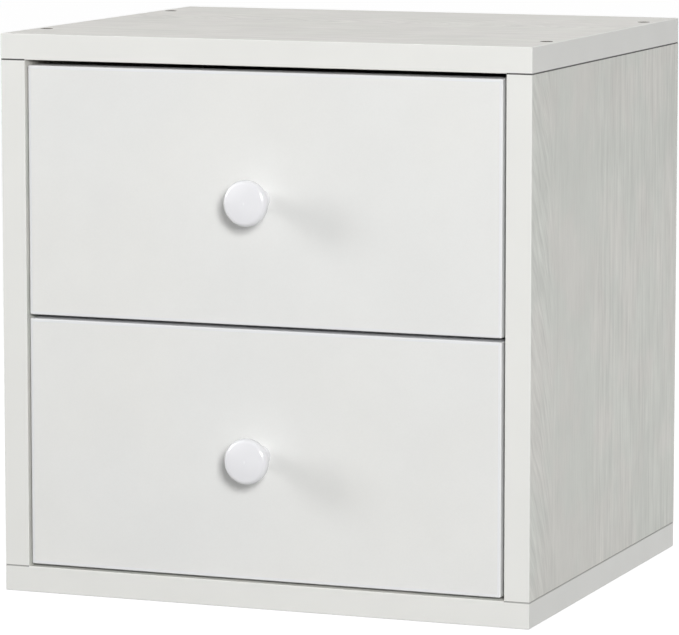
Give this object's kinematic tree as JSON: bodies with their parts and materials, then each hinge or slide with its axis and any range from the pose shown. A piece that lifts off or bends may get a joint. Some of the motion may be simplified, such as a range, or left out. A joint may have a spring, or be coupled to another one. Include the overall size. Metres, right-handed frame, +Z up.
{
  "type": "storage cube drawer",
  "caption": "Open-stackable cube chest of laminated board with inset drawers on roller runners, round knobs and dowel holes for stacking.",
  "frame": {"origin": "middle of the carcass's footprint, on the floor it stands on", "axes": "+Z up, -Y out of the drawer fronts, +X to the right for someone facing the fronts"},
  "size_m": [0.345, 0.3212, 0.348],
  "materials": {
    "carcass_laminate": "white-washed wood-grain laminate, satin",
    "carcass_edge_band": "smooth white edge band, satin",
    "front_laminate": "plain white laminate, satin",
    "front_edge_band": "smooth white edge band, rounded",
    "drawer_board": "white laminated board",
    "hardboard": "white-faced hardboard",
    "beech": "bare fluted beech",
    "knob_plastic": "glossy white",
    "coated_steel": "white epoxy powder coat",
    "roller_plastic": "natural white moulded plastic",
    "zinc": "bright zinc plate"
  },
  "bodies": {
    "carcass": {"top_panel": "carcass_laminate", "bottom_panel": "carcass_laminate", "left_side_panel": "carcass_laminate", "right_side_panel": "carcass_laminate", "back_panel": "hardboard", "top_panel_edge_bands": "carcass_edge_band", "bottom_panel_edge_bands": "carcass_edge_band", "side_panel_edge_bands": "carcass_edge_band", "top_dowels": "beech", "bottom_dowels": "beech", "cam_locks": "zinc", "cam_bolts": "zinc", "base_screws": "zinc", "upper_left_cabinet_rail": "coated_steel", "upper_right_cabinet_rail": "coated_steel", "lower_left_cabinet_rail": "coated_steel", "lower_right_cabinet_rail": "coated_steel", "cabinet_rail_screws": "zinc", "cabinet_roller_rivets": "zinc"},
    "upper_drawer": {"upper_drawer_front": "front_laminate", "upper_front_edge_bands": "front_edge_band", "upper_drawer_left_side": "drawer_board", "upper_drawer_right_side": "drawer_board", "upper_drawer_back": "drawer_board", "upper_drawer_bottom": "hardboard", "upper_left_drawer_rail": "coated_steel", "upper_right_drawer_rail": "coated_steel", "upper_front_dowels": "beech", "upper_front_cams": "zinc", "upper_front_cam_bolts": "zinc", "upper_back_screws": "zinc", "upper_drawer_rail_screws": "zinc", "upper_drawer_roller_rivets": "zinc", "upper_knob": "knob_plastic", "upper_knob_screw": "zinc"},
    "lower_drawer": {"lower_drawer_front": "front_laminate", "lower_front_edge_bands": "front_edge_band", "lower_drawer_left_side": "drawer_board", "lower_drawer_right_side": "drawer_board", "lower_drawer_back": "drawer_board", "lower_drawer_bottom": "hardboard", "lower_left_drawer_rail": "coated_steel", "lower_right_drawer_rail": "coated_steel", "lower_front_dowels": "beech", "lower_front_cams": "zinc", "lower_front_cam_bolts": "zinc", "lower_back_screws": "zinc", "lower_drawer_rail_screws": "zinc", "lower_drawer_roller_rivets": "zinc", "lower_knob": "knob_plastic", "lower_knob_screw": "zinc"},
    "upper_left_cabinet_roller": {"upper_left_cabinet_roller": "roller_plastic"},
    "upper_right_cabinet_roller": {"upper_right_cabinet_roller": "roller_plastic"},
    "upper_left_drawer_roller": {"upper_left_drawer_roller": "roller_plastic"},
    "upper_right_drawer_roller": {"upper_right_drawer_roller": "roller_plastic"},
    "lower_left_cabinet_roller": {"lower_left_cabinet_roller": "roller_plastic"},
    "lower_right_cabinet_roller": {"lower_right_cabinet_roller": "roller_plastic"},
    "lower_left_drawer_roller": {"lower_left_drawer_roller": "roller_plastic"},
    "lower_right_drawer_roller": {"lower_right_drawer_roller": "roller_plastic"}
  },
  "joints": [
    {"name": "upper_drawer_slide", "type": "slide", "parent": "carcass", "child": "upper_drawer", "axis": [0, -1, 0], "range_m": [0, 0.19]},
    {"name": "lower_drawer_slide", "type": "slide", "parent": "carcass", "child": "lower_drawer", "axis": [0, -1, 0], "range_m": [0, 0.19]},
    {"name": "upper_left_cabinet_roller_spin", "type": "hinge", "parent": "carcass", "child": "upper_left_cabinet_roller", "pos_m": [-0.1515, -0.1155, 0.196], "axis": [1, 0, 0], "continuous": true},
    {"name": "upper_right_cabinet_roller_spin", "type": "hinge", "parent": "carcass", "child": "upper_right_cabinet_roller", "pos_m": [0.1515, -0.1155, 0.196], "axis": [1, 0, 0], "continuous": true},
    {"name": "upper_left_drawer_roller_spin", "type": "hinge", "parent": "upper_drawer", "child": "upper_left_drawer_roller", "pos_m": [-0.1495, 0.1083, 0.1941], "axis": [1, 0, 0], "continuous": true},
    {"name": "upper_right_drawer_roller_spin", "type": "hinge", "parent": "upper_drawer", "child": "upper_right_drawer_roller", "pos_m": [0.1495, 0.1083, 0.1941], "axis": [1, 0, 0], "continuous": true},
    {"name": "lower_left_cabinet_roller_spin", "type": "hinge", "parent": "carcass", "child": "lower_left_cabinet_roller", "pos_m": [-0.1515, -0.1155, 0.0393], "axis": [1, 0, 0], "continuous": true},
    {"name": "lower_right_cabinet_roller_spin", "type": "hinge", "parent": "carcass", "child": "lower_right_cabinet_roller", "pos_m": [0.1515, -0.1155, 0.0393], "axis": [1, 0, 0], "continuous": true},
    {"name": "lower_left_drawer_roller_spin", "type": "hinge", "parent": "lower_drawer", "child": "lower_left_drawer_roller", "pos_m": [-0.1495, 0.1083, 0.0374], "axis": [1, 0, 0], "continuous": true},
    {"name": "lower_right_drawer_roller_spin", "type": "hinge", "parent": "lower_drawer", "child": "lower_right_drawer_roller", "pos_m": [0.1495, 0.1083, 0.0374], "axis": [1, 0, 0], "continuous": true}
  ],
  "couplings": [
    {"joint": "upper_left_cabinet_roller_spin", "follows": "upper_drawer_slide", "rad_per_m": 117.65},
    {"joint": "upper_right_cabinet_roller_spin", "follows": "upper_drawer_slide", "rad_per_m": 117.65},
    {"joint": "upper_left_drawer_roller_spin", "follows": "upper_drawer_slide", "rad_per_m": 117.65},
    {"joint": "upper_right_drawer_roller_spin", "follows": "upper_drawer_slide", "rad_per_m": 117.65},
    {"joint": "lower_left_cabinet_roller_spin", "follows": "lower_drawer_slide", "rad_per_m": 117.65},
    {"joint": "lower_right_cabinet_roller_spin", "follows": "lower_drawer_slide", "rad_per_m": 117.65},
    {"joint": "lower_left_drawer_roller_spin", "follows": "lower_drawer_slide", "rad_per_m": 117.65},
    {"joint": "lower_right_drawer_roller_spin", "follows": "lower_drawer_slide", "rad_per_m": 117.65}
  ]
}
